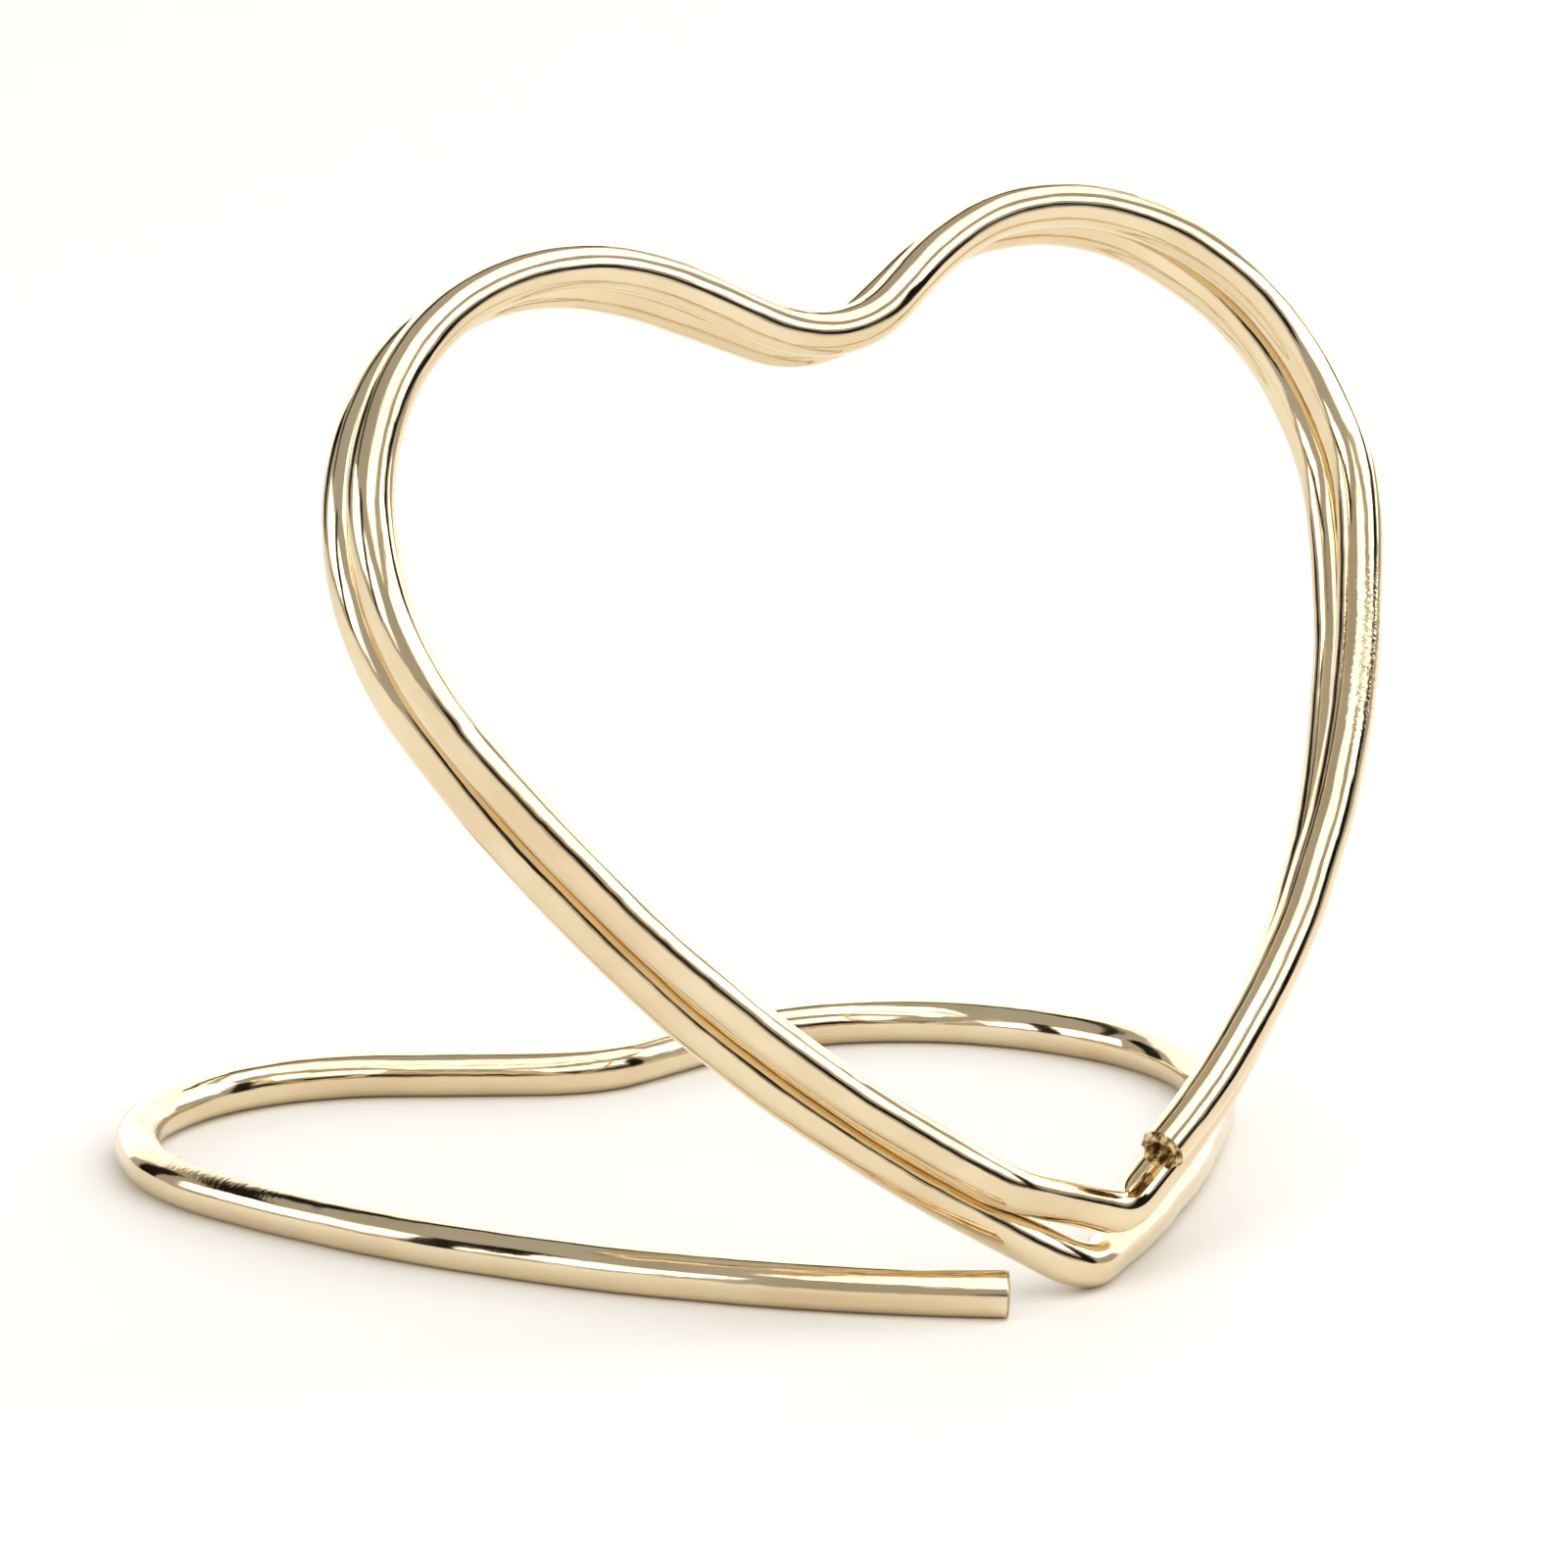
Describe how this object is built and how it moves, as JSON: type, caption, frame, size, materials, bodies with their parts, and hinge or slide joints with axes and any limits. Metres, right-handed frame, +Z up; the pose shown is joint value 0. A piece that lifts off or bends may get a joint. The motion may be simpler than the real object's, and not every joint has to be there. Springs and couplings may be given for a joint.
{
  "type": "table number holder",
  "caption": "Bent-wire card holder: doubled upright heart turns pinch a table number card above a flat heart-shaped base that rests on the table.",
  "frame": {"origin": "middle of the holder's footprint, on the table", "axes": "+Z up, -Y the front, +X to the right as seen from the front; the upright hearts lean back towards +Y over the flat heart"},
  "size_m": [0.0542, 0.0468, 0.0442],
  "materials": {
    "gold_wire": "polished pale gold plating"
  },
  "bodies": {
    "stand": {"crossover_bend": "gold_wire", "rear_heart_right_arm": "gold_wire", "rear_heart_right_lobe": "gold_wire", "rear_heart_notch": "gold_wire", "rear_heart_left_lobe": "gold_wire", "rear_heart_left_arm": "gold_wire", "heel_bend": "gold_wire", "base_heart_right_arm": "gold_wire", "base_heart_right_lobe": "gold_wire", "base_heart_notch": "gold_wire", "base_heart_left_lobe": "gold_wire", "base_heart_left_arm": "gold_wire"},
    "front_turn": {"front_heart_right_arm": "gold_wire", "front_heart_right_lobe": "gold_wire", "front_heart_notch": "gold_wire", "front_heart_left_lobe": "gold_wire", "front_heart_left_arm": "gold_wire"}
  },
  "joints": [
    {"name": "front_turn_flex", "type": "hinge", "parent": "stand", "child": "front_turn", "pos_m": [-0.00365, -0.02127, 0.00571], "axis": [0.9989, 0.022, 0.0417], "range_deg": [0, 3], "stiffness_Nm_per_rad": 8}
  ]
}
